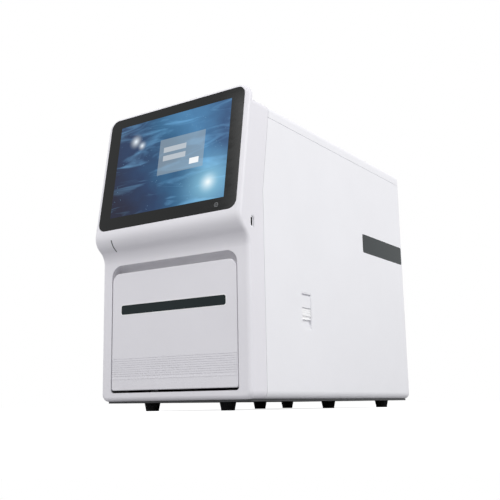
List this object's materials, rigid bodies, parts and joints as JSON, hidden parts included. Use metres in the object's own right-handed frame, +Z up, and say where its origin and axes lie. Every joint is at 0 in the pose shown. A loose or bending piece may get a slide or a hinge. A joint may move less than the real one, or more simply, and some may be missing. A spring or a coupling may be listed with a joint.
{
  "type": "nucleic acid extraction workstation",
  "caption": "Bench instrument with a tilted touch screen, drop-down front door, sliding cartridge deck, magnetic rod head, rear fan and power switch.",
  "frame": {"origin": "on the ground under the centre of the instrument's box", "axes": "+Z up, -Y towards the screen and door side, +X to the viewer's right from the front"},
  "size_m": [0.3, 0.6152, 0.5092],
  "materials": {
    "cover_white": "fine satin texture",
    "front_white": "fine satin texture",
    "door_white": "fine satin texture",
    "trim_light": "smooth",
    "screen_glass": "polished cover glass",
    "dark_inlay": "smooth dark teal",
    "socket_black": "moulded",
    "rubber_black": "matt",
    "steel_dark": "powder coat",
    "steel_grey": "powder coat",
    "zinc_steel": "zinc plated",
    "aluminium": "anodised",
    "black_aluminium": "black anodised",
    "liner_white": "smooth",
    "board_green": "solder mask",
    "sleeve_clear": "natural polypropylene",
    "lamp_glass": "quartz tube",
    "lens_clear": "smoked lens",
    "liner_plastic": "smooth"
  },
  "bodies": {
    "root": {"front_frame": "front_white", "top_cover": "cover_white", "left_side_cover": "cover_white", "right_side_cover": "cover_white", "side_plates": "dark_inlay", "latch_bezel": "cover_white", "feet": "rubber_black", "base_plate": "steel_dark", "touch_glass": "screen_glass", "display_module": "zinc_steel", "display_bracket": "steel_grey", "controller_board": "board_green", "status_light_lens": "lens_clear", "side_usb_port": "socket_black", "hinge_brackets": "zinc_steel", "catch_magnets": "steel_grey", "finger_recess": "front_white", "left_chassis_plate": "zinc_steel", "right_chassis_plate": "zinc_steel", "chassis_braces": "zinc_steel", "deck_plate": "aluminium", "linear_rails": "zinc_steel", "drive_belt": "rubber_black", "gantry_plate": "aluminium", "stepper_motors": "steel_dark", "chamber_liner": "liner_white", "uv_lamp": "lamp_glass", "power_supply": "zinc_steel", "main_board": "board_green", "rear_panel": "steel_grey", "screws": "zinc_steel", "fan_frame": "socket_black", "fan_guard": "zinc_steel", "power_inlet": "socket_black", "rear_ports": "socket_black"},
    "door": {"door_panel": "door_white", "door_window_trim": "trim_light", "door_window": "dark_inlay", "door_liner": "liner_plastic", "door_seal": "rubber_black", "hinge_knuckles": "steel_grey", "strike_plates": "zinc_steel"},
    "latch_slider": {"latch_slider": "trim_light"},
    "deck": {"deck_carriage": "aluminium", "heater_plate": "black_aluminium", "cartridge_rack": "aluminium", "deck_rail_blocks": "steel_grey"},
    "idler_pulley": {"idler_pulley": "aluminium"},
    "drive_pulley": {"drive_pulley": "aluminium"},
    "sleeve_head": {"sleeve_carrier": "aluminium", "rod_sleeves": "sleeve_clear", "guide_shafts": "zinc_steel", "z_rail_blocks": "steel_grey", "magnet_motor": "steel_dark"},
    "magnet_head": {"magnet_carrier": "aluminium", "magnet_rods": "zinc_steel"},
    "z_screw": {"z_screw": "zinc_steel"},
    "magnet_screw": {"magnet_screw": "zinc_steel"},
    "fan_rotor": {"fan_rotor": "socket_black"},
    "power_rocker": {"power_rocker": "socket_black"}
  },
  "joints": [
    {"name": "door_hinge", "type": "hinge", "parent": "root", "child": "door", "pos_m": [0, -0.27442, 0.042], "axis": [1, 0, 0], "range_deg": [0, 90]},
    {"name": "latch_slide", "type": "slide", "parent": "root", "child": "latch_slider", "axis": [0, 0, -1], "range_m": [0, 0.008], "stiffness_N_per_m": 60, "springref_m": -0.005},
    {"name": "deck_slide", "type": "slide", "parent": "root", "child": "deck", "axis": [0, 1, 0], "range_m": [0, 0.17]},
    {"name": "idler_spin", "type": "hinge", "parent": "root", "child": "idler_pulley", "pos_m": [0, -0.21242, 0.051], "axis": [0, 0, 1], "range_deg": [-5, 1090]},
    {"name": "drive_spin", "type": "hinge", "parent": "root", "child": "drive_pulley", "pos_m": [0, 0.18758, 0.051], "axis": [0, 0, 1], "range_deg": [-5, 1090]},
    {"name": "sleeve_slide", "type": "slide", "parent": "root", "child": "sleeve_head", "axis": [0, 0, -1], "range_m": [0, 0.055]},
    {"name": "magnet_slide", "type": "slide", "parent": "sleeve_head", "child": "magnet_head", "axis": [0, 0, -1], "range_m": [0, 0.068]},
    {"name": "z_screw_spin", "type": "hinge", "parent": "root", "child": "z_screw", "pos_m": [0, 0.00708, 0.2], "axis": [0, 0, 1], "range_deg": [-10, 2490]},
    {"name": "magnet_screw_spin", "type": "hinge", "parent": "sleeve_head", "child": "magnet_screw", "pos_m": [0, -0.01842, 0.25], "axis": [0, 0, 1], "range_deg": [-10, 3075]},
    {"name": "fan_spin", "type": "hinge", "parent": "root", "child": "fan_rotor", "pos_m": [0.062, 0.28358, 0.366], "axis": [0, 1, 0], "continuous": true},
    {"name": "power_switch", "type": "hinge", "parent": "root", "child": "power_rocker", "pos_m": [-0.084, 0.29108, 0.101], "axis": [1, 0, 0], "range_deg": [0, 16]}
  ],
  "couplings": [
    {"joint": "idler_spin", "follows": "deck_slide", "rad_per_m": 111.11},
    {"joint": "drive_spin", "follows": "deck_slide", "rad_per_m": 111.11},
    {"joint": "z_screw_spin", "follows": "sleeve_slide", "rad_per_m": 785.4},
    {"joint": "magnet_screw_spin", "follows": "magnet_slide", "rad_per_m": 785.4}
  ]
}
